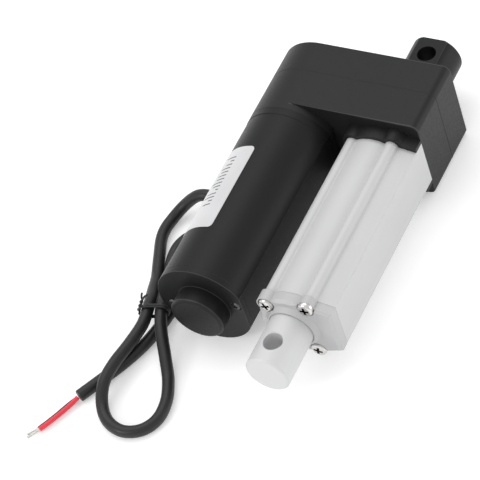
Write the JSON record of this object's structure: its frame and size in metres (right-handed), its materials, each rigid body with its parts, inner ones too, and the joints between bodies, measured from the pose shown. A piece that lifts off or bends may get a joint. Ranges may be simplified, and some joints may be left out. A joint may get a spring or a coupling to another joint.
{
  "type": "linear actuator",
  "caption": "Electric linear actuator: a motor beside a push rod, geared to a lead screw that slides the rod out of an aluminium profile, with a pin hole at each end and a short two-wire lead.",
  "frame": {"origin": "centre of the rear pin hole, halfway across the rear clevis", "axes": "+Z along both pin holes, -Y along the push rod, +X to the side away from the motor"},
  "size_m": [0.1152, 0.2174, 0.042],
  "materials": {
    "black_casting": "satin black paint on cast metal",
    "black_plastic": "fine matte black moulding",
    "aluminium_profile": "clear anodised extrusion",
    "aluminium_cap": "matte anodised casting",
    "aluminium_rod": "smooth satin anodised",
    "steel": "turned",
    "screw_steel": "bright zinc plated",
    "dark_screw": "black oxide",
    "rubber": "matte",
    "bronze": "sintered bronze",
    "copper": "enamelled copper",
    "lamination": "stacked sheet steel",
    "ferrite": "sintered ferrite, standing in for magnet",
    "acetal": "natural acetal",
    "carbon": "graphite",
    "board_green": "circuit board with solder mask",
    "switch_plastic": "moulded switch body",
    "plunger_red": "moulded",
    "label_grey": null,
    "cord_black": "soft PVC jacket",
    "wire_red": "PVC insulation",
    "wire_black": "PVC insulation",
    "tinned": "tinned copper strands"
  },
  "bodies": {
    "casing": {"gear_housing": "black_casting", "rear_cover": "black_casting", "cover_gasket": "rubber", "cover_screws": "dark_screw", "rear_clevis": "black_plastic", "clevis_screw": "steel", "tube_profile": "aluminium_profile", "profile_screws": "steel", "front_cap": "aluminium_cap", "cap_screws": "screw_steel", "rod_wiper": "rubber", "rod_bushing": "acetal", "motor_cover": "black_plastic", "motor_end_cap": "black_plastic", "motor_cap_screws": "dark_screw", "motor_can": "steel", "motor_front_plate": "steel", "motor_mount_screws": "steel", "motor_magnets": "ferrite", "brush_plate": "switch_plastic", "motor_brushes": "carbon", "front_bush": "bronze", "rear_bush": "bronze", "idler_axle": "steel", "front_bearing": "steel", "rear_bearing": "steel", "limit_board": "board_green", "front_switch": "switch_plastic", "rear_switch": "switch_plastic", "motor_leads": "wire_red", "switch_lead": "wire_black", "label": "label_grey", "cable_gland": "rubber", "power_cord": "cord_black", "cord_tie": "cord_black", "red_wire": "wire_red", "black_wire": "wire_black", "red_strands": "tinned", "black_strands": "tinned"},
    "rotor": {"rotor_shaft": "steel", "armature_core": "lamination", "armature_windings": "copper", "commutator": "copper", "motor_pinion": "bronze"},
    "idler": {"idler_gear": "acetal"},
    "screw": {"lead_screw": "steel", "screw_gear": "acetal"},
    "rod": {"push_rod": "aluminium_rod", "lead_nut": "acetal"},
    "front_limit_plunger": {"front_plunger": "plunger_red"},
    "rear_limit_plunger": {"rear_plunger": "plunger_red"}
  },
  "joints": [
    {"name": "motor_spin", "type": "hinge", "parent": "casing", "child": "rotor", "pos_m": [-0.0405, -0.08, 0], "axis": [0, 1, 0], "range_deg": [0, 24700]},
    {"name": "idler_spin", "type": "hinge", "parent": "casing", "child": "idler", "pos_m": [-0.0205, -0.03, 0], "axis": [0, 1, 0], "range_deg": [-7801, 1]},
    {"name": "screw_spin", "type": "hinge", "parent": "casing", "child": "screw", "pos_m": [0, -0.03, 0], "axis": [0, 1, 0], "range_deg": [-1, 4501]},
    {"name": "rod_slide", "type": "slide", "parent": "casing", "child": "rod", "axis": [0, -1, 0], "range_m": [0, 0.05001]},
    {"name": "front_limit_press", "type": "slide", "parent": "casing", "child": "front_limit_plunger", "axis": [0, -1, 0], "range_m": [0, 0.0008], "stiffness_N_per_m": 150, "springref_m": -0.0002},
    {"name": "rear_limit_press", "type": "slide", "parent": "casing", "child": "rear_limit_plunger", "axis": [0, 1, 0], "range_m": [0, 0.0008], "stiffness_N_per_m": 150, "springref_m": -0.0002}
  ],
  "couplings": [
    {"joint": "idler_spin", "follows": "motor_spin", "ratio": -0.31579},
    {"joint": "screw_spin", "follows": "motor_spin", "ratio": 0.18219},
    {"joint": "rod_slide", "follows": "motor_spin", "m_per_rad": 0.00011598}
  ]
}
